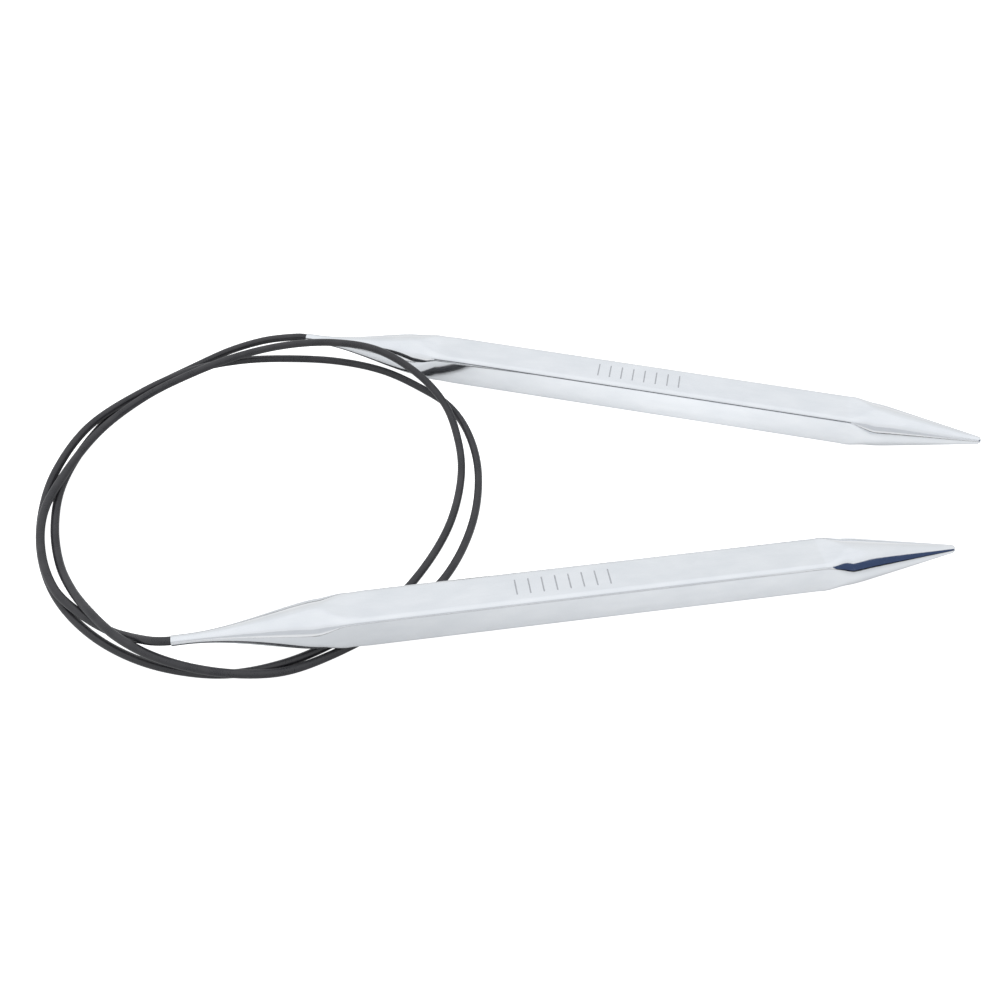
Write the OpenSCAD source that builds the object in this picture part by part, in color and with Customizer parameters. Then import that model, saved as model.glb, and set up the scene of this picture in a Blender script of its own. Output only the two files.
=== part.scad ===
// Circular knitting needle: two hollow square needles joined by one long nylon cable.
// Millimetres. Both needles point along +X, +Y is away from the front, and z = 0 is the table.
// Each needle is built along +X with its neck's mouth at [0, 0, 0], then put in its place.

/* [Needles] */
// Length of a needle, from the neck's mouth to the point
needle_length = 127; // [100:1:150]
// Width of the square shaft across its flats
across_flats = 6.65; // [6:0.05:7]
// Radius along the shaft's four long edges
edge_r = 0.85; // [0.5:0.05:1]
// Wall thickness of the hollow shaft
wall = 0.7; // [0.5:0.1:0.8]
// Length of the swept neck between the mouth and the square shaft
neck_length = 28; // [24:1:34]
// Length of the cone that ends in the point
tip_length = 21; // [16:1:26]
// Radius of the rounded point
point_r = 0.75; // [0.5:0.05:1]
// Radius of the round blank whose middle is pressed square, which is half the needle's gauge
blank_r = 4; // [3.9:0.05:4.1]
// Distance from the mouth to where the neck reaches the blank's full radius
neck_round = 22; // [21:0.5:23]
// Length over which a pressed flat runs out into the round
flat_fade = 5; // [4:0.5:6]

/* [Cable] */
// Diameter of the cable
cable_d = 1.4; // [1.2:0.1:1.4]
// Outer diameter of the neck's mouth
mouth_d = 1.7; // [1.6:0.1:2]
// Clearance all round the cable in the neck's bore
bore_clearance = 0.02; // [0.01:0.01:0.05]
// Distance from the mouth to the ferrule that anchors the cable
ferrule_start = 11.6; // [11.4:0.1:14]
// Length of the ferrule
ferrule_length = 6; // [4:0.5:8]
// Outer diameter of the ferrule
ferrule_d = 2.5; // [2:0.1:2.5]

/* [Placement] */
// Turn of the near needle about the vertical
near_yaw = 8.35; // [6:0.05:10]
// Slope of the near needle, which lies on the cable with its neck raised
near_tilt = 1; // [1:0.05:1.5]
// Roll of the near needle about its own axis, which turns its front flat a little upwards
near_roll = -7; // [-10:0.5:0]
// Turn of the far needle about the vertical
far_yaw = -12; // [-14:0.5:-11]

/* [Hidden] */
$fn = 48;

half_flat = across_flats / 2;
// Distance from the shaft's axis to its rounded long edges
corner_r = (half_flat - edge_r) * sqrt(2) + edge_r;
mouth_r = mouth_d / 2;
cable_r = cable_d / 2;
bore_r = cable_r + bore_clearance;

// The neck is straight for the collar and then swells along a smooth S curve
collar_length = 2;
neck_steps = 16;
neck_end_r = corner_r + 0.1;

// The cone touches the rounded point and meets the shaft's edges at tip_length
cone_reach = tip_length - point_r;
cone_angle = atan(corner_r / cone_reach) - asin(point_r / norm([corner_r, cone_reach]));
point_steps = 6;
// The needle rests where its cone is as wide as the blank, and at the same radius on the neck
cone_round = needle_length - tip_length + (corner_r - blank_r) / tan(cone_angle);
fade_slope = (blank_r - half_flat) / flat_fade;
// The hollow ends where the wall would close it
hollow_end = needle_length - tip_length + (corner_r - wall - bore_r) / tan(cone_angle);

near_mouth = [-68.4, -34.3, blank_r * cos(near_tilt) + cone_round * sin(near_tilt)];
far_mouth = [-56, 33.65, blank_r];

// The cable lies on the table in two loops, and its strands cross one over the other.
// Its route runs from the near needle's mouth to the far needle's, in three stretches.
near_lead_route = [[-69.4, -34.4, 5.9], [-70.8, -34.3, 5.7], [-72.1, -34, 5.3]];
far_lead_route = [[-59.9, 33.9, 3.8], [-58.5, 33.95, 3.9], [-57, 33.85, 4]];
cable_route = [
    // down from the near mouth and up the left side, on top of the second loop
    [-72.7, -33.8, 5.1], [-76.5, -32.1, 3.2], [-80, -30.6, 2.4], [-85, -27.7, 2.3],
    [-90.5, -23.2, 2.3], [-94.8, -16, 2.3], [-96.8, -7.5, 2.3], [-95.5, 0.5, 2.4],
    [-91.5, 11, 2.5], [-85, 19, 2.8], [-77.5, 24.2, 3.4],
    // a long low hump over the far needle's neck
    [-68.5, 28.6, 4.1], [-59, 30.1, 5.5], [-49.5, 29.2, 6.95], [-41, 26.3, 7.7],
    [-33.5, 22.1, 5.6], [-28.5, 17, 2.9], [-26, 10, 1.2],
    // the inner right side, under the near needle and along the front
    [-25.2, 2, 0.75], [-27, -9, 0.75], [-31.8, -19.2, 0.75], [-38, -27, 0.75],
    [-45, -32.1, 0.75], [-52, -35.5, 0.75], [-60, -37.3, 0.75], [-68, -36.8, 0.75],
    [-76, -34.5, 0.75], [-84, -30, 0.75],
    // the left side again, at the bottom, and then the outer strand at the back
    [-91, -23.3, 0.75], [-95.7, -15, 0.75], [-98, -6, 0.75], [-97.6, 2, 1.6],
    [-94, 12, 2.3], [-86, 20.8, 2.3], [-77.8, 26.4, 2.3], [-69, 29.2, 2.1],
    [-60, 30.7, 1.2], [-50, 30.4, 0.75], [-41, 27.8, 0.75], [-33.5, 23.3, 0.75],
    // the outer right side and under the near needle again
    [-28, 18.7, 0.75], [-24.4, 12.5, 0.75], [-22.2, 3, 0.75], [-23.1, -9, 0.75],
    [-27.8, -20.3, 0.75], [-36, -28.4, 0.75], [-44.5, -33.9, 0.75],
    // over the first loop and over the stretch that leaves the near mouth
    [-51.5, -37, 1.1], [-58, -38.1, 2.3], [-65.5, -37.5, 3.2], [-72, -35.8, 4.2],
    [-77.5, -33, 4.8], [-83, -28.3, 3.9], [-88, -22.9, 2.2], [-92, -17, 1],
    // the inner left side, beneath both other strands, and up to the far mouth
    [-94.9, -9.5, 0.75], [-96.1, -1, 0.75], [-94.6, 8, 0.75], [-91, 16.4, 0.75],
    [-85.5, 23, 0.75], [-78, 29, 0.75], [-71, 32.3, 2], [-64.5, 33.6, 3.3],
    [-60.5, 33.9, 3.75]
];
cable_sides = 8;

// Smooth S curve from 0 to 1
function ease(t) = t * t * (3 - 2 * t);
function neck_r(t) = mouth_r + (neck_end_r - mouth_r) * ease(t);
function neck_x(t) = collar_length + (neck_length - collar_length) * t;
function unit(v) = v / norm(v);
function route_direction(route, i) =
    unit(route[min(i + 1, len(route) - 1)] - route[max(i - 1, 0)]);
function ring(centre, direction) =
    let (side = unit(cross([0, 0, 1], direction)), rise = cross(direction, side))
    [for (k = [0:cable_sides - 1])
        let (a = (k + 0.5) * 360 / cable_sides)
        centre + cable_r * (side * cos(a) + rise * sin(a))];

// A closed tube swept along a route, with one ring at each of the route's points
module cable_tube(route) {
    last = len(route) - 1;
    n = cable_sides;
    points = [for (i = [0:last]) each ring(route[i], route_direction(route, i))];
    walls = [for (i = [0:last - 1], k = [0:n - 1])
        [i * n + k, (i + 1) * n + k, (i + 1) * n + (k + 1) % n, i * n + (k + 1) % n]];
    start_cap = [for (k = [0:n - 1]) k];
    end_cap = [for (k = [n - 1:-1:0]) last * n + k];
    polyhedron(points, concat([start_cap], walls, [end_cap]), convexity = 10);
}

module place_near() {
    translate(near_mouth) rotate([near_roll, near_tilt, near_yaw]) children();
}

module place_far() {
    translate(far_mouth) rotate([0, 0, far_yaw]) children();
}

// A bar along +X with rounded long edges
module square_bar(length, width, r) {
    inner = width - 2 * r;
    translate([0, -width / 2, -inner / 2]) cube([length, width, inner]);
    translate([0, -inner / 2, -width / 2]) cube([length, inner, width]);
    for (y = [-1, 1], z = [-1, 1])
        translate([0, y * inner / 2, z * inner / 2]) rotate([0, 90, 0]) cylinder(h = length, r = r);
}

// A solid of revolution about +X, from [radius, x] points
module turned(profile) {
    rotate([0, 90, 0]) rotate_extrude($fn = 64) polygon(profile);
}

module needle_outside() {
    neck = [for (i = [0:neck_steps]) [neck_r(i / neck_steps), neck_x(i / neck_steps)]];
    point = [for (i = [0:point_steps])
        let (a = (90 - cone_angle) * (1 - i / point_steps))
        [point_r * sin(a), needle_length - point_r + point_r * cos(a)]];
    cone_start = [neck_end_r, needle_length - tip_length - (neck_end_r - corner_r) / tan(cone_angle)];
    intersection() {
        union() {
            square_bar(needle_length, across_flats, edge_r);
            round_end(-1, neck_round);
            round_end(needle_length + 1, cone_round);
        }
        turned(concat([[0, 0], [mouth_r, 0]], neck, [cone_start], point));
    }
}

// Keeps the needle round from outer_x to round_x, and lets the flats rise through a cone beyond that
module round_end(outer_x, round_x) {
    inwards = sign(round_x - outer_x);
    wide = 0.6;
    deep = half_flat - 0.25;
    turned([
        [0, outer_x], [blank_r + wide, outer_x], [blank_r + wide, round_x - inwards * wide / fade_slope],
        [deep, round_x + inwards * (blank_r - deep) / fade_slope],
        [0, round_x + inwards * (blank_r - deep) / fade_slope]
    ]);
}

// The bore for the cable, opening into the hollow of the shaft
module needle_hollow() {
    neck = [for (i = [0:neck_steps])
        [max(bore_r, neck_r(i / neck_steps) - wall), neck_x(i / neck_steps)]];
    full_r = neck_end_r - wall;
    full_end = needle_length - tip_length - (neck_end_r - corner_r) / tan(cone_angle);
    intersection() {
        translate([-1, 0, 0]) square_bar(needle_length, across_flats - 2 * wall, edge_r / 2);
        turned(concat([[0, -1], [bore_r, -1]], neck, [[full_r, full_end], [bore_r, hollow_end], [0, hollow_end]]));
    }
}

module needle() {
    difference() {
        needle_outside();
        needle_hollow();
    }
}

// The end of the cable inside the neck
module cable_end() {
    rotate([0, 90, 0]) cylinder(h = ferrule_start + ferrule_length, r = cable_r);
}

// The sleeve crimped on the cable's end, which can't pass the narrow part of the neck
module ferrule() {
    translate([ferrule_start, 0, 0]) rotate([0, 90, 0]) difference() {
        cylinder(h = ferrule_length, d = ferrule_d);
        translate([0, 0, -1]) cylinder(h = ferrule_length + 2, r = cable_r);
    }
}

module near_needle() {
    color("silver") place_near() needle();
}

module far_needle() {
    color("silver") place_far() needle();
}

module near_ferrule() {
    color("goldenrod") place_near() ferrule();
}

module far_ferrule() {
    color("goldenrod") place_far() ferrule();
}

module near_cable_end() {
    color("dimgray") place_near() cable_end();
}

module far_cable_end() {
    color("dimgray") place_far() cable_end();
}

module near_cable_lead() {
    color("dimgray") cable_tube(near_lead_route);
}

module far_cable_lead() {
    color("dimgray") cable_tube(far_lead_route);
}

module cable() {
    color("dimgray") cable_tube(cable_route);
}

near_needle();
far_needle();
near_ferrule();
far_ferrule();
near_cable_end();
far_cable_end();
near_cable_lead();
far_cable_lead();
cable();
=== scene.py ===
import math
import bpy
import numpy as np
from mathutils import Matrix, Vector


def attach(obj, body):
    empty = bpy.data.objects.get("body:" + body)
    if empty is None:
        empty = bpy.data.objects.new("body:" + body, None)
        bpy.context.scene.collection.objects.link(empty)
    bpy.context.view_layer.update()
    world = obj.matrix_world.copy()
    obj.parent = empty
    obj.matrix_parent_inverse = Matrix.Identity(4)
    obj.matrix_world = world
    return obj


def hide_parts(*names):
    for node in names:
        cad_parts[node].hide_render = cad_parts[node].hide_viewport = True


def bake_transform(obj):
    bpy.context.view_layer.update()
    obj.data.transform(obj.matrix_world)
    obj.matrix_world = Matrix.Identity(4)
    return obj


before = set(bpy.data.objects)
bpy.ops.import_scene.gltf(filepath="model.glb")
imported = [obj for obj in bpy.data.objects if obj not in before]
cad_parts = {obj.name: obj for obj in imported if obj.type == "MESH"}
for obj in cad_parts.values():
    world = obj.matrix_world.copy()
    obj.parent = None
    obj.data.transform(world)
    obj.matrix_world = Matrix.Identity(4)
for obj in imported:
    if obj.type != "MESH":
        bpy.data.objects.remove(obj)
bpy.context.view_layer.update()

scene = bpy.context.scene
MM = 0.001

# ---------------------------------------------------------------- camera
CAMERA_PLACE = (-0.01824, -0.10640, 0.13838)
CAMERA_TILT = math.radians(36.75)
CAMERA_LENS = 35.172
CAMERA_SENSOR = 36

camera_data = bpy.data.cameras.new("camera")
camera_data.lens = CAMERA_LENS
camera_data.sensor_width = CAMERA_SENSOR
camera_data.clip_start = 0.005
camera = bpy.data.objects.new("camera", camera_data)
camera.location = CAMERA_PLACE
camera.rotation_euler = (CAMERA_TILT, 0, 0)
scene.collection.objects.link(camera)
scene.camera = camera

# ---------------------------------------------------------------- sizes and places
# A needle lies along its own +X, from the mouth that the cable leaves to the point
NEEDLE_LENGTH = 0.127
HALF_FLAT = 0.003325
EDGE_R = 0.00085
WALL = 0.0007
MOUTH_R = 0.00085
COLLAR_LENGTH = 0.002
NECK_LENGTH = 0.028
TIP_LENGTH = 0.021
POINT_R = 0.00075
BLANK_R = 0.004
NECK_ROUND = 0.022
FLAT_FADE = 0.005
CABLE_R = 0.0007
BORE_R = 0.00072
CABLE_IN_NECK = 0.0176
CLEARANCE = 0.0001

CORNER_R = (HALF_FLAT - EDGE_R) * math.sqrt(2) + EDGE_R
NECK_END_R = CORNER_R + CLEARANCE
CONE_REACH = TIP_LENGTH - POINT_R
CONE_ANGLE = (math.atan(CORNER_R / CONE_REACH)
              - math.asin(POINT_R / math.hypot(CORNER_R, CONE_REACH)))
CONE_START = NEEDLE_LENGTH - TIP_LENGTH
CONE_ROUND = CONE_START + (CORNER_R - BLANK_R) / math.tan(CONE_ANGLE)
HOLLOW_END = CONE_START + (CORNER_R - WALL - BORE_R) / math.tan(CONE_ANGLE)

NEAR_YAW = math.radians(8.35)
NEAR_TILT = math.radians(1)
NEAR_ROLL = math.radians(-7)
FAR_YAW = math.radians(-12)
NEAR_MOUTH_Z = BLANK_R * math.cos(NEAR_TILT) + CONE_ROUND * math.sin(NEAR_TILT)
NEAR_MOUTH = Vector((-0.0684, -0.0343, NEAR_MOUTH_Z))
FAR_MOUTH = Vector((-0.056, 0.03365, BLANK_R))
NEAR_PLACE = (Matrix.Translation(NEAR_MOUTH) @ Matrix.Rotation(NEAR_YAW, 4, "Z")
              @ Matrix.Rotation(NEAR_TILT, 4, "Y") @ Matrix.Rotation(NEAR_ROLL, 4, "X"))
FAR_PLACE = Matrix.Translation(FAR_MOUTH) @ Matrix.Rotation(FAR_YAW, 4, "Z")

# The cable's route, from the near needle's mouth to the far needle's
NEAR_LEAD_ROUTE = [
    (-0.0694, -0.0344, 0.0059), (-0.0708, -0.0343, 0.0057), (-0.0721, -0.034, 0.0053),
]
CABLE_ROUTE = [
    # down from the near mouth and up the left side, on top of the second loop
    (-0.0727, -0.0338, 0.0051), (-0.0765, -0.0321, 0.0032), (-0.08, -0.0306, 0.0024),
    (-0.085, -0.0277, 0.0023), (-0.0905, -0.0232, 0.0023), (-0.0948, -0.016, 0.0023),
    (-0.0968, -0.0075, 0.0023), (-0.0955, 0.0005, 0.0024), (-0.0915, 0.011, 0.0025),
    (-0.085, 0.019, 0.0028), (-0.0775, 0.0242, 0.0034),
    # a long low hump over the far needle's neck
    (-0.0685, 0.0286, 0.0041), (-0.059, 0.0301, 0.0055), (-0.0495, 0.0292, 0.00695),
    (-0.041, 0.0263, 0.0077), (-0.0335, 0.0221, 0.0056), (-0.0285, 0.017, 0.0029),
    (-0.026, 0.01, 0.0012),
    # the inner right side, under the near needle and along the front
    (-0.0252, 0.002, 0.00075), (-0.027, -0.009, 0.00075), (-0.0318, -0.0192, 0.00075),
    (-0.038, -0.027, 0.00075), (-0.045, -0.0321, 0.00075), (-0.052, -0.0355, 0.00075),
    (-0.06, -0.0373, 0.00075), (-0.068, -0.0368, 0.00075), (-0.076, -0.0345, 0.00075),
    (-0.084, -0.03, 0.00075),
    # the left side again, at the bottom, and then the outer strand at the back
    (-0.091, -0.0233, 0.00075), (-0.0957, -0.015, 0.00075), (-0.098, -0.006, 0.00075),
    (-0.0976, 0.002, 0.0016), (-0.094, 0.012, 0.0023), (-0.086, 0.0208, 0.0023),
    (-0.0778, 0.0264, 0.0023), (-0.069, 0.0292, 0.0021), (-0.06, 0.0307, 0.0012),
    (-0.05, 0.0304, 0.00075), (-0.041, 0.0278, 0.00075), (-0.0335, 0.0233, 0.00075),
    # the outer right side and under the near needle again
    (-0.028, 0.0187, 0.00075), (-0.0244, 0.0125, 0.00075), (-0.0222, 0.003, 0.00075),
    (-0.0231, -0.009, 0.00075), (-0.0278, -0.0203, 0.00075), (-0.036, -0.0284, 0.00075),
    (-0.0445, -0.0339, 0.00075),
    # over the first loop and over the stretch that leaves the near mouth
    (-0.0515, -0.037, 0.0011), (-0.058, -0.0381, 0.0023), (-0.0655, -0.0375, 0.0032),
    (-0.072, -0.0358, 0.0042), (-0.0775, -0.033, 0.0048), (-0.083, -0.0283, 0.0039),
    (-0.088, -0.0229, 0.0022), (-0.092, -0.017, 0.001),
    # the inner left side, beneath both other strands, and up to the far mouth
    (-0.0949, -0.0095, 0.00075), (-0.0961, -0.001, 0.00075), (-0.0946, 0.008, 0.00075),
    (-0.091, 0.0164, 0.00075), (-0.0855, 0.023, 0.00075), (-0.078, 0.029, 0.00075),
    (-0.071, 0.0323, 0.002), (-0.0645, 0.0336, 0.0033), (-0.0605, 0.0339, 0.00375),
]
FAR_LEAD_ROUTE = [
    (-0.0599, 0.0339, 0.0038), (-0.0585, 0.03395, 0.0039), (-0.057, 0.03385, 0.004),
]

# ---------------------------------------------------------------- materials


def new_material(name):
    """A material, its Principled shader, and functions that add a node and link two sockets."""
    material = bpy.data.materials.new(name)
    material.use_nodes = True
    tree = material.node_tree
    shader = tree.nodes["Principled BSDF"]

    def node(kind, **values):
        made = tree.nodes.new(kind)
        for key, value in values.items():
            if hasattr(made, key):
                setattr(made, key, value)
            else:
                made.inputs[key.replace("_", " ")].default_value = value
        return made

    return material, shader, node, tree.links.new


def stretched_noise(node, link, stretch, detail):
    """Noise in the piece's own coordinates, with a scale for each axis in cycles per metre."""
    place = node("ShaderNodeTexCoord")
    mapping = node("ShaderNodeMapping")
    mapping.inputs["Scale"].default_value = stretch
    noise = node("ShaderNodeTexNoise", Scale=1.0, Detail=detail)
    link(place.outputs["Object"], mapping.inputs["Vector"])
    link(mapping.outputs["Vector"], noise.inputs["Vector"])
    return noise.outputs["Fac"]


def mapped(node, link, source, low, high, from_low=0.3, from_high=0.7):
    """source's usual range, moved to low .. high."""
    ranged = node("ShaderNodeMapRange")
    ranged.inputs["From Min"].default_value = from_low
    ranged.inputs["From Max"].default_value = from_high
    ranged.inputs["To Min"].default_value = low
    ranged.inputs["To Max"].default_value = high
    link(source, ranged.inputs["Value"])
    return ranged.outputs["Result"]


def colour_between(node, link, factor, first, second):
    """The first colour where the factor is 0, the second where it is 1."""
    mix = node("ShaderNodeMix", data_type="RGBA")
    colours = [s for s in mix.inputs if s.type == "RGBA"]
    colours[0].default_value = (*first, 1)
    colours[1].default_value = (*second, 1)
    link(factor, mix.inputs[0])
    return [s for s in mix.outputs if s.type == "RGBA"][0]


def two_colours(node, link, shader, source, first, second):
    """Colour the surface from one colour to another over a noise's usual range."""
    link(colour_between(node, link, mapped(node, link, source, 0, 1), first, second),
         shader.inputs["Base Color"])


def bump(node, link, shader, height, strength, distance):
    """Raise the surface by a noise, up to a distance in metres."""
    made = node("ShaderNodeBump")
    made.inputs["Strength"].default_value = strength
    made.inputs["Distance"].default_value = distance
    link(height, made.inputs["Height"])
    link(made.outputs["Normal"], shader.inputs["Normal"])


def nickel_material():
    """Polished nickel plating: very fine drawing lines along the shaft, under a cloudy polish."""
    material, shader, node, link = new_material("nickel_plate")
    shader.inputs["Metallic"].default_value = 1.0
    clouds = stretched_noise(node, link, (180, 420, 420), 3.0)
    lines = stretched_noise(node, link, (260, 9000, 9000), 2.0)
    two_colours(node, link, shader, clouds, (0.83, 0.85, 0.875), (0.89, 0.905, 0.925))
    rough = node("ShaderNodeMath", operation="ADD")
    link(mapped(node, link, clouds, 0.06, 0.10), rough.inputs[0])
    link(mapped(node, link, lines, 0.0, 0.03), rough.inputs[1])
    link(rough.outputs["Value"], shader.inputs["Roughness"])
    bump(node, link, shader, lines, 0.05, 0.00002)
    return material


def etched_material():
    """Matt grey of a fine etched mark in the plating."""
    material, shader, node, link = new_material("etched_mark")
    shader.inputs["Metallic"].default_value = 0.6
    grain = stretched_noise(node, link, (7000, 7000, 7000), 2.0)
    two_colours(node, link, shader, grain, (0.33, 0.34, 0.36), (0.50, 0.51, 0.53))
    link(mapped(node, link, grain, 0.5, 0.7), shader.inputs["Roughness"])
    bump(node, link, shader, grain, 0.3, 0.00002)
    return material


def nylon_material():
    """Black nylon with a satin skin: soft mottling under a fine grain."""
    material, shader, node, link = new_material("cable_nylon")
    shader.inputs["IOR"].default_value = 1.53
    mottle = stretched_noise(node, link, (350, 350, 350), 3.0)
    grain = stretched_noise(node, link, (5200, 5200, 5200), 3.0)
    two_colours(node, link, shader, mottle, (0.013, 0.013, 0.016), (0.027, 0.026, 0.029))
    rough = node("ShaderNodeMath", operation="ADD")
    link(mapped(node, link, mottle, 0.22, 0.30), rough.inputs[0])
    link(mapped(node, link, grain, 0.0, 0.10), rough.inputs[1])
    link(rough.outputs["Value"], shader.inputs["Roughness"])
    bump(node, link, shader, grain, 0.25, 0.00003)
    return material


def brass_material():
    """Plain brass of the crimped ferrules, dulled unevenly."""
    material, shader, node, link = new_material("ferrule_brass")
    shader.inputs["Metallic"].default_value = 1.0
    tarnish = stretched_noise(node, link, (900, 900, 900), 4.0)
    two_colours(node, link, shader, tarnish, (0.58, 0.40, 0.17), (0.80, 0.62, 0.30))
    link(mapped(node, link, tarnish, 0.42, 0.26), shader.inputs["Roughness"])
    bump(node, link, shader, tarnish, 0.2, 0.00005)
    return material


NICKEL = nickel_material()
ETCHED = etched_material()
NYLON = nylon_material()
BRASS = brass_material()

# ---------------------------------------------------------------- the cable
RING_STEP = 0.0006
RING_SIDES = 16
SAMPLES_PER_POINT = 24


def smooth_line(points):
    """A centripetal Catmull-Rom curve through the points, resampled to even steps."""
    p = np.array(points, float)
    p = np.vstack([2 * p[0] - p[1], p, 2 * p[-1] - p[-2]])
    knots = np.r_[0, np.cumsum(np.sqrt(np.linalg.norm(np.diff(p, axis=0), axis=1)))]
    line = []
    for i in range(1, len(p) - 2):
        before, here, after = np.diff(knots[i - 1:i + 3])
        leave = here * ((p[i] - p[i - 1]) / before - (p[i + 1] - p[i - 1]) / (before + here)
                        + (p[i + 1] - p[i]) / here)
        arrive = here * ((p[i + 1] - p[i]) / here - (p[i + 2] - p[i]) / (here + after)
                         + (p[i + 2] - p[i + 1]) / after)
        for t in np.arange(SAMPLES_PER_POINT) / SAMPLES_PER_POINT:
            line.append((2 * t**3 - 3 * t**2 + 1) * p[i] + (t**3 - 2 * t**2 + t) * leave
                        + (3 * t**2 - 2 * t**3) * p[i + 1] + (t**3 - t**2) * arrive)
    line.append(p[-2])
    line = np.array(line)
    along = np.r_[0, np.cumsum(np.linalg.norm(np.diff(line, axis=0), axis=1))]
    even = np.linspace(0, along[-1], round(along[-1] / RING_STEP) + 1)
    return np.stack([np.interp(even, along, line[:, k]) for k in range(3)], 1)


def inside_neck(place, depths):
    """Points on a needle's axis at these distances from its mouth."""
    return [tuple(place @ Vector((depth, 0, 0))) for depth in depths]


DEPTHS = (0.0, 0.001, 0.003, 0.006, 0.010, 0.014, CABLE_IN_NECK)
near_inside = inside_neck(NEAR_PLACE, DEPTHS)
far_inside = inside_neck(FAR_PLACE, DEPTHS)
centres = smooth_line(near_inside[::-1] + NEAR_LEAD_ROUTE + CABLE_ROUTE + FAR_LEAD_ROUTE
                      + far_inside)
directions = np.gradient(centres, axis=0)
directions /= np.linalg.norm(directions, axis=1)[:, None]
ring_side = np.cross((0, 0, 1), directions)
ring_side /= np.linalg.norm(ring_side, axis=1)[:, None]
ring_rise = np.cross(directions, ring_side)


def ring_near(point):
    """The number of the ring whose centre is nearest to a point on the route."""
    return int(np.linalg.norm(centres - np.array(point), axis=1).argmin())


def new_object(name, vertices, faces, material):
    """An object with a smooth-shaded mesh of these points and faces."""
    mesh = bpy.data.meshes.new(name)
    mesh.from_pydata([tuple(v) for v in vertices], [], faces)
    mesh.materials.append(material)
    mesh.polygons.foreach_set("use_smooth", [True] * len(mesh.polygons))
    mesh.update()
    made = bpy.data.objects.new(name, mesh)
    scene.collection.objects.link(made)
    return made


def cable_piece(name, first, last):
    """The cable's surface from one ring to another, closed by a flat cap at each end."""
    turn = (np.arange(RING_SIDES) + 0.5) * 2 * math.pi / RING_SIDES
    across, upward = np.cos(turn), np.sin(turn)
    rings = [centres[i]
             + CABLE_R * (np.outer(across, ring_side[i]) + np.outer(upward, ring_rise[i]))
             for i in range(first, last + 1)]
    n, count = RING_SIDES, last - first
    faces = [(i * n + k, (i + 1) * n + k, (i + 1) * n + (k + 1) % n, i * n + (k + 1) % n)
             for i in range(count) for k in range(n)]
    faces.append(tuple(range(n)))
    faces.append(tuple(count * n + k for k in range(n - 1, -1, -1)))
    made = new_object(name, np.concatenate(rings), faces, NYLON)
    if made.data.polygons[0].normal.dot(Vector(ring_side[first])) < 0:
        made.data.flip_normals()
    rims = {0, count}
    for edge in made.data.edges:
        a, b = edge.vertices[0] // n, edge.vertices[1] // n
        edge.use_edge_sharp = a == b and a in rims
    return made


# Pieces of the cable meet 3 mm outside each mouth, and on the left side of the loops
near_lead_ring = ring_near((-0.0714, -0.0342, 0.0055))
near_seam_ring = ring_near((-0.0968, -0.0075, 0.0023))
far_seam_ring = ring_near((-0.0946, 0.008, 0.00075))
far_lead_ring = ring_near((-0.0592, 0.0339, 0.0039))
last_ring = len(centres) - 1

near_end = cable_piece("near_cable_in_neck", 0, near_lead_ring)
near_bend = cable_piece("near_cable_bend", near_lead_ring, near_seam_ring)
loops = cable_piece("cable_loops", near_seam_ring, far_seam_ring)
far_bend = cable_piece("far_cable_bend", far_seam_ring, far_lead_ring)
far_end = cable_piece("far_cable_in_neck", far_lead_ring, last_ring)

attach(loops, "cable")
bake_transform(near_bend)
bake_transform(near_end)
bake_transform(far_bend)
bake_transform(far_end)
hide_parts("cable")
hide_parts("near_cable_lead", "near_cable_end")
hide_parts("far_cable_lead", "far_cable_end")

# ---------------------------------------------------------------- the needles
EDGE_SOFTNESS = 0.0005
CLEAR_SLOPE = 0.15
SLOPE_STEP = 0.00001
BEYOND_SKIN = 0.006
HALVINGS = 40
POINT_CENTRE = NEEDLE_LENGTH - POINT_R


def ease(t):
    """A smooth step from 0 to 1."""
    return t * t * (3 - 2 * t)


def outer_radius(x):
    """Radius of the turned outline at a distance from the mouth: collar, neck, cone and point.

    Along the shaft it grows clear of the square's edges, so that their softening ends there.
    """
    along_neck = np.clip((x - COLLAR_LENGTH) / (NECK_LENGTH - COLLAR_LENGTH), 0, 1)
    neck = MOUTH_R + (NECK_END_R - MOUTH_R) * ease(along_neck)
    neck = neck + np.maximum(x - NECK_LENGTH, 0) * CLEAR_SLOPE
    touch_x = POINT_CENTRE + POINT_R * math.sin(CONE_ANGLE)
    cone = POINT_R * math.cos(CONE_ANGLE) + (touch_x - x) * math.tan(CONE_ANGLE)
    ball = np.sqrt(np.maximum(POINT_R**2 - (x - POINT_CENTRE) ** 2, 0))
    return np.minimum(neck, np.where(x < touch_x, cone, ball))


def inner_radius(x):
    """Radius of the hollow: the cable's bore, then a wall's thickness inside the outline."""
    return np.maximum(BORE_R, np.minimum(outer_radius(x), outer_radius(x + WALL)) - WALL)


def section(x, y, z, radius, half, edge):
    """Below 0 inside the overlap of a rounded square and a circle, soft where they meet.

    The blank stays round outside the pressed length, so there the square grows and rounds itself
    into a circle.
    """
    past_flats = np.maximum(NECK_ROUND + FLAT_FADE - x, x - CONE_ROUND + FLAT_FADE)
    faded = np.clip(past_flats / FLAT_FADE, 0, 1)
    half = half + (BLANK_R - HALF_FLAT) * faded
    edge = edge + (half - edge) * ease(faded)
    over_y, over_z = np.abs(y) - (half - edge), np.abs(z) - (half - edge)
    pressed = (np.hypot(np.maximum(over_y, 0), np.maximum(over_z, 0))
               + np.minimum(np.maximum(over_y, over_z), 0) - edge)
    turned = np.hypot(y, z) - radius(x)
    soft = np.maximum(EDGE_SOFTNESS - np.abs(pressed - turned), 0) / EDGE_SOFTNESS
    return np.maximum(pressed, turned) + soft * soft * EDGE_SOFTNESS / 4


def section_angles():
    """Angles round a section, close together at the four edges."""
    quarter = np.r_[np.linspace(0, 38, 17)[:-1], np.linspace(38, 52, 15)[:-1],
                    np.linspace(52, 90, 17)[:-1]]
    return np.radians(np.concatenate([quarter + 90 * k for k in range(4)]))


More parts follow.
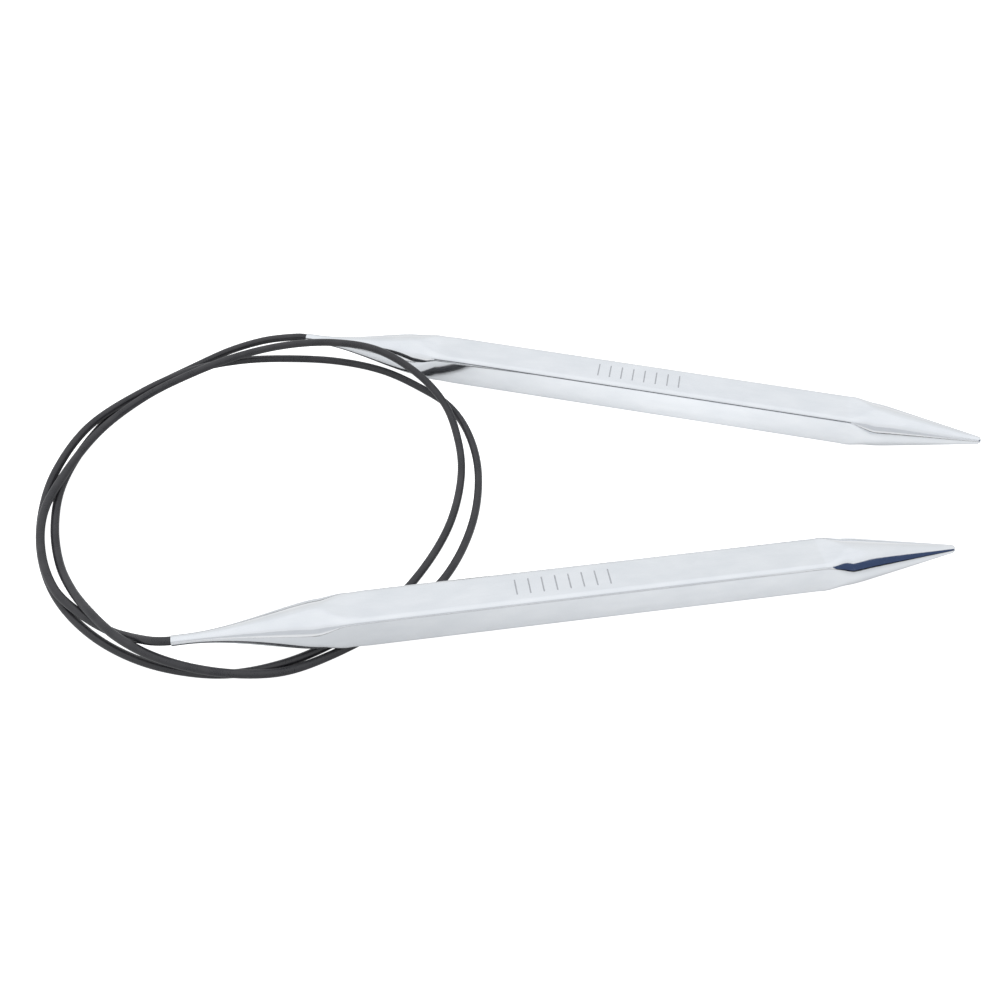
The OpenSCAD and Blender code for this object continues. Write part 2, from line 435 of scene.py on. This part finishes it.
def skin(distances, radius, half, edge):
    """Points and outward normals of the surface, one ring for every distance from the mouth."""
    turn = section_angles()
    x = np.repeat(distances, len(turn)).reshape(len(distances), -1)
    cos, sin = np.cos(turn)[None], np.sin(turn)[None]
    low, high = np.zeros_like(x), np.full_like(x, BEYOND_SKIN)
    for _ in range(HALVINGS):
        middle = (low + high) / 2
        inside = section(x, middle * cos, middle * sin, radius, half, edge) < 0
        low, high = np.where(inside, middle, low), np.where(inside, high, middle)
    y, z = low * cos, low * sin
    slope = [section(x + dx, y + dy, z + dz, radius, half, edge)
             - section(x - dx, y - dy, z - dz, radius, half, edge)
             for dx, dy, dz in np.eye(3) * SLOPE_STEP]
    normals = np.stack(slope, -1)
    normals /= np.linalg.norm(normals, axis=-1)[..., None]
    return np.stack([x, y, z], -1), normals


def stations(*runs):
    """Distances from the mouth in metres, for runs given in mm as start, end and step."""
    return np.concatenate([np.arange(*run) for run in runs]) * MM


POINT_TURNS = np.linspace(CONE_ANGLE, math.pi / 2, 12)[:-1]
OUTSIDE = np.concatenate([stations((0, 30, 0.5), (30, 98, 4), (98, 126, 0.5)),
                          POINT_CENTRE + POINT_R * np.sin(POINT_TURNS)])
INSIDE = np.concatenate([stations((0, 30, 1.0), (30, 100, 10)),
                         np.linspace(0.100, HOLLOW_END - CLEARANCE, 14)])


def needle(name, place, body, node):
    """A hollow needle along its own +X: skin, bore and the flat ring of the mouth."""
    outer, outer_normal = skin(OUTSIDE, outer_radius, HALF_FLAT, EDGE_R)
    inner, inner_normal = skin(INSIDE, inner_radius, HALF_FLAT - WALL, EDGE_R / 2)
    ends = np.array([[NEEDLE_LENGTH, 0, 0], [HOLLOW_END, 0, 0]])
    vertices = np.concatenate([outer.reshape(-1, 3), inner.reshape(-1, 3), ends])
    smooth = np.concatenate([outer_normal.reshape(-1, 3), -inner_normal.reshape(-1, 3),
                             [[1, 0, 0]], [[-1, 0, 0]]])
    n = outer.shape[1]
    around = [(k, (k + 1) % n) for k in range(n)]
    first_inner = len(OUTSIDE) * n
    last_outer, last_inner = first_inner - n, first_inner + (len(INSIDE) - 1) * n
    point_at, end_at = len(vertices) - 2, len(vertices) - 1
    faces = [(i + a, i + b, i + n + b, i + n + a)
             for i in range(0, last_outer, n) for a, b in around]
    faces += [(last_outer + a, last_outer + b, point_at) for a, b in around]
    faces += [(i + n + a, i + n + b, i + b, i + a)
              for i in range(first_inner, last_inner, n) for a, b in around]
    faces += [(last_inner + b, last_inner + a, end_at) for a, b in around]
    rim_start = len(faces)
    faces += [(first_inner + a, first_inner + b, b, a) for a, b in around]
    made = new_object(name, vertices, faces, NICKEL)
    facing = [(-1, 0, 0) if number >= rim_start else tuple(smooth[v])
              for number, face in enumerate(faces) for v in face]
    made.data.normals_split_custom_set(facing)
    made.matrix_world = place
    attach(made, body)
    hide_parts(node)


needle("near_shaft", NEAR_PLACE, "near_needle", "near_needle")
needle("far_shaft", FAR_PLACE, "far_needle", "far_needle")

# ---------------------------------------------------------------- the etched marks
NEAR_MARK_START = 0.0532
FAR_MARK_START = 0.0574
MARK_LENGTH = 0.0149
MARK_STROKES = 8
STROKE_WIDTH = 0.00024
STROKE_HEIGHT = 0.0030
STROKE_PROUD = 0.00001
STROKE_DEPTH = 0.00006


def stroke_outline(x):
    """The outline of one upright stroke with round ends, in the plane of the top flat."""
    r, straight = STROKE_WIDTH / 2, (STROKE_HEIGHT - STROKE_WIDTH) / 2
    turn = np.radians(np.linspace(0, 180, 9))
    top = [(x + r * math.cos(t), straight + r * math.sin(t)) for t in turn]
    return top + [(2 * x - a, -b) for a, b in top]


def size_mark(name, start, place, body):
    """A row of fine upright strokes across the middle of the top flat."""
    vertices, faces = [], []
    for x in np.linspace(start, start + MARK_LENGTH, MARK_STROKES):
        outline, first = stroke_outline(x), len(vertices)
        n = len(outline)
        vertices += [(a, b, HALF_FLAT + STROKE_PROUD) for a, b in outline]
        vertices += [(a, b, HALF_FLAT - STROKE_DEPTH) for a, b in outline]
        faces.append(tuple(first + k for k in range(n)))
        faces.append(tuple(first + n + k for k in range(n - 1, -1, -1)))
        faces += [(first + n + k, first + n + (k + 1) % n, first + (k + 1) % n, first + k)
                  for k in range(n)]
    made = new_object(name, vertices, faces, ETCHED)
    made.data.polygons.foreach_set("use_smooth", [False] * len(faces))
    made.matrix_world = place
    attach(made, body)


size_mark("near_size_mark", NEAR_MARK_START, NEAR_PLACE, "near_needle")
size_mark("far_size_mark", FAR_MARK_START, FAR_PLACE, "far_needle")

# ---------------------------------------------------------------- the ferrules keep their CAD shape
for ferrule in ("near_ferrule", "far_ferrule"):
    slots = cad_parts[ferrule].data.materials
    slots.clear()
    slots.append(BRASS)

# ---------------------------------------------------------------- floor, cards, light
FLOOR_HALF = 3.0
WHITE_FLOOR_Z = -0.00003
GREY_FLOOR_Z = -0.00002
FLOOR_GLOW = 0.62
# Centre, reach and greys of the painted pool of light on the glowing grey sheet of painted shade
# that reflections see
PAINTED_POOL_CENTRE = (0.018, 0.016, 0)
PAINTED_POOL_REACH = 0.085
PAINTED_POOL_GREY = (0.54, 0.545, 0.55)
PAINTED_POOL_EDGE_GREY = (0.35, 0.355, 0.36)
WHITE = (0.93, 0.93, 0.93)
NEAR_BLACK = (0.010, 0.010, 0.014)
NAVY = (0.050, 0.076, 0.156)
PALE_GREY = (0.68, 0.69, 0.71)


def stage_paint(name, glow):
    """A matt paint for the stage, which may glow. The caller gives it its colours."""
    material, shader, node, link = new_material(name)
    shader.inputs["Roughness"].default_value = 0.9
    shader.inputs["Specular IOR Level"].default_value = 0.1
    shader.inputs["Emission Strength"].default_value = glow
    return material, shader, node, link


def plain_paint(name, colour, glow=0.0):
    """Stage paint of one colour."""
    material, shader, _, _ = stage_paint(name, glow)
    shader.inputs["Base Color"].default_value = (*colour, 1)
    shader.inputs["Emission Color"].default_value = (*colour, 1)
    return material


def painted_pool_paint(name, centre, reach, centre_colour, far_colour, glow):
    """Stage paint with a painted pool of light: palest at its centre and darker further away, as a
    table is under a lamp.
    """
    material, shader, node, link = stage_paint(name, glow)
    place = node("ShaderNodeTexCoord")
    away = node("ShaderNodeVectorMath", operation="DISTANCE")
    away.inputs[1].default_value = centre
    link(place.outputs["Object"], away.inputs[0])
    graded = mapped(node, link, away.outputs["Value"], 0, 1, from_low=0, from_high=reach)
    colour = colour_between(node, link, graded, centre_colour, far_colour)
    link(colour, shader.inputs["Base Color"])
    link(colour, shader.inputs["Emission Color"])
    return material


def sheet(name, height, material):
    """A square sheet under the whole scene."""
    corners = [(x * FLOOR_HALF, y * FLOOR_HALF, height)
               for x, y in ((-1, -1), (1, -1), (1, 1), (-1, 1))]
    made = new_object(name, corners, [(0, 1, 2, 3)], material)
    return made


# The camera sees a white table lit from below. Reflections see a glowing grey sheet instead:
# painted shade of the floor, under a painted pool of light.
white_floor = sheet("white_floor", WHITE_FLOOR_Z, plain_paint("floor_white", WHITE, FLOOR_GLOW))
white_floor.visible_glossy = False
white_floor.visible_diffuse = False
painted_shade_floor = painted_pool_paint("painted_shade_floor", PAINTED_POOL_CENTRE, PAINTED_POOL_REACH, PAINTED_POOL_GREY, PAINTED_POOL_EDGE_GREY, FLOOR_GLOW)
grey_floor = sheet("grey_floor", GREY_FLOOR_Z, painted_shade_floor)
grey_floor.visible_camera = False
grey_floor.visible_shadow = False


def for_reflections(made):
    """Mark a part of the stage that is seen only in the object's reflections."""
    made.visible_camera = False
    made.visible_diffuse = False
    made.visible_shadow = False


CARD_DISTANCE = 0.95
CARD_STEPS = 65


def card(name, base, outline, colour):
    """A curved upright card round the object. Outline has its top at some azimuths, in degrees."""
    azimuths, tops = zip(*outline)
    turns = np.linspace(azimuths[0], azimuths[-1], CARD_STEPS)
    sides = [(CARD_DISTANCE * math.cos(t), CARD_DISTANCE * math.sin(t)) for t in np.radians(turns)]
    low = [(x, y, base) for x, y in sides]
    high = [(x, y, top) for (x, y), top in zip(sides, np.interp(turns, azimuths, tops))]
    n = CARD_STEPS
    faces = [(k, k + 1, n + k + 1, n + k) for k in range(n - 1)]
    for_reflections(new_object(name, low + high, faces, plain_paint(name, colour)))


HORIZON = ((-122, 0.0), (-100, 0.02), (-90, 0.055), (-58, 0.055), (-52, 0.08), (-17, 0.10))
card("horizon_card", 0.0, HORIZON, NEAR_BLACK)
card("navy_card", 0.10, ((-52, 0.62), (-17, 0.62)), NAVY)
card("navy_edge_card", 0.08, ((-52, 0.10), (-17, 0.10)), NEAR_BLACK)
card("grey_card", 0.20, ((-122, 0.60), (-58, 0.60)), PALE_GREY)

# A narrow black flag in front of the far needle draws the dark line along its front edge.
FLAG_ENDS = (0.026, 0.1035)
FLAG_AWAY = 0.0075
FLAG_HEIGHTS = (0.0028, 0.0041)
flag_corners = [FAR_PLACE @ Vector((x, -FLAG_AWAY, z)) for x, z in
                zip(FLAG_ENDS + FLAG_ENDS[::-1], np.repeat(FLAG_HEIGHTS, 2))]
for_reflections(new_object("edge_flag", flag_corners, [(0, 1, 2, 3)],
                           plain_paint("flag_black", NEAR_BLACK)))

SOFTBOX_PLACE = Vector((-0.25, 0.25, 0.8))
SOFTBOX_SIZE = 0.7
SOFTBOX_WATTS = 5.0
light_data = bpy.data.lights.new("softbox", "AREA")
light_data.shape = "SQUARE"
light_data.size = SOFTBOX_SIZE
light_data.energy = SOFTBOX_WATTS
softbox = bpy.data.objects.new("softbox", light_data)
softbox.location = SOFTBOX_PLACE
softbox.rotation_euler = (-SOFTBOX_PLACE).to_track_quat("-Z", "Y").to_euler()
softbox.visible_glossy = False
scene.collection.objects.link(softbox)

world = bpy.data.worlds.new("studio")
world.use_nodes = True
scene.world = world
tree = world.node_tree
background = tree.nodes["Background"]
place = tree.nodes.new("ShaderNodeTexCoord")
axes = tree.nodes.new("ShaderNodeSeparateXYZ")
ramp = tree.nodes.new("ShaderNodeValToRGB")
SKY = ((0.0, (0.92, 0.92, 0.92)), (0.30, (0.80, 0.81, 0.82)), (0.68, (0.86, 0.88, 0.90)),
       (0.76, (0.92, 0.94, 0.97)), (1.0, (0.96, 0.98, 1.0)))
while len(ramp.color_ramp.elements) < len(SKY):
    ramp.color_ramp.elements.new(0.5)
for element, (height, colour) in zip(ramp.color_ramp.elements, SKY):
    element.position = height
    element.color = (*colour, 1)
tree.links.new(place.outputs["Generated"], axes.inputs["Vector"])
tree.links.new(axes.outputs["Z"], ramp.inputs["Fac"])
tree.links.new(ramp.outputs["Color"], background.inputs["Color"])
background.inputs["Strength"].default_value = 1.0

scene.view_settings.view_transform = "Standard"
